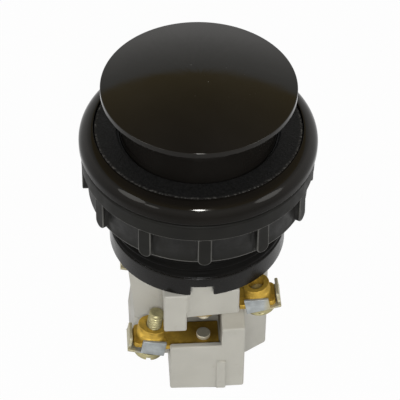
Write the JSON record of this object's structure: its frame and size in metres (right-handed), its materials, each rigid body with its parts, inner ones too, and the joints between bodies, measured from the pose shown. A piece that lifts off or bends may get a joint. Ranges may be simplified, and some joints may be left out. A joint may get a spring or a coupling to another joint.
{
  "type": "mushroom-head push-button switch",
  "caption": "Panel push button with a black mushroom cap, gloss bezel, ribbed ring nut, threaded sleeve and a white changeover contact block with brass screw terminals.",
  "frame": {"origin": "on the button axis, in the plane where bezel gasket and nut meet on the panel", "axes": "+Z along the button axis towards the cap; -Y towards the front of the contact block; +X towards the upper terminals"},
  "size_m": [0.0396, 0.0396, 0.0577],
  "materials": {
    "cap_black": "polished",
    "bezel_black": "polished",
    "sleeve_black": "fine grain on the face ring",
    "nut_black": "satin",
    "rubber_black": "matte",
    "housing_white": "satin",
    "stem_plastic": "satin",
    "carrier_plastic": "satin",
    "spring_steel": "drawn wire",
    "screw_zinc": "yellow passivated",
    "clamp_zinc": "blue passivated",
    "brass": "dull",
    "tip_silver": "dull silver"
  },
  "bodies": {
    "housing": {"body_sleeve": "sleeve_black", "bezel_ring": "bezel_black", "panel_gasket": "rubber_black", "wiper_seal": "rubber_black", "upper_housing": "housing_white", "lower_housing": "housing_white", "contact_strip_no_front": "brass", "contact_strip_no_back": "brass", "contact_strip_nc_front": "brass", "contact_strip_nc_back": "brass", "clamp_plate_no_front": "clamp_zinc", "clamp_plate_no_back": "clamp_zinc", "clamp_plate_nc_front": "clamp_zinc", "clamp_plate_nc_back": "clamp_zinc", "terminal_screws": "screw_zinc", "block_screws": "screw_zinc", "fixed_contact_tips": "tip_silver", "head_spring": "spring_steel", "carrier_spring": "spring_steel"},
    "plunger": {"mushroom_cap": "cap_black", "push_stem": "stem_plastic", "stem_clip": "spring_steel", "contact_carrier": "carrier_plastic", "contact_spring": "spring_steel"},
    "bridge": {"contact_bridge": "brass", "bridge_contact_tips": "tip_silver"},
    "nut": {"ring_nut": "nut_black"}
  },
  "joints": [
    {"name": "push", "type": "slide", "parent": "housing", "child": "plunger", "axis": [0, 0, -1], "range_m": [0, 0.0058], "stiffness_N_per_m": 1000, "springref_m": -0.006, "deforming": ["head_spring", "carrier_spring"]},
    {"name": "bridge_lift", "type": "slide", "parent": "plunger", "child": "bridge", "axis": [0, 0, 1], "range_m": [0, 0.00124], "deforming": ["contact_spring"]},
    {"name": "nut_travel", "type": "slide", "parent": "housing", "child": "nut", "axis": [0, 0, -1], "range_m": [0, 0.006]}
  ],
  "couplings": [
    {"joint": "bridge_lift", "follows": "push", "ratio": 0.2137}
  ]
}
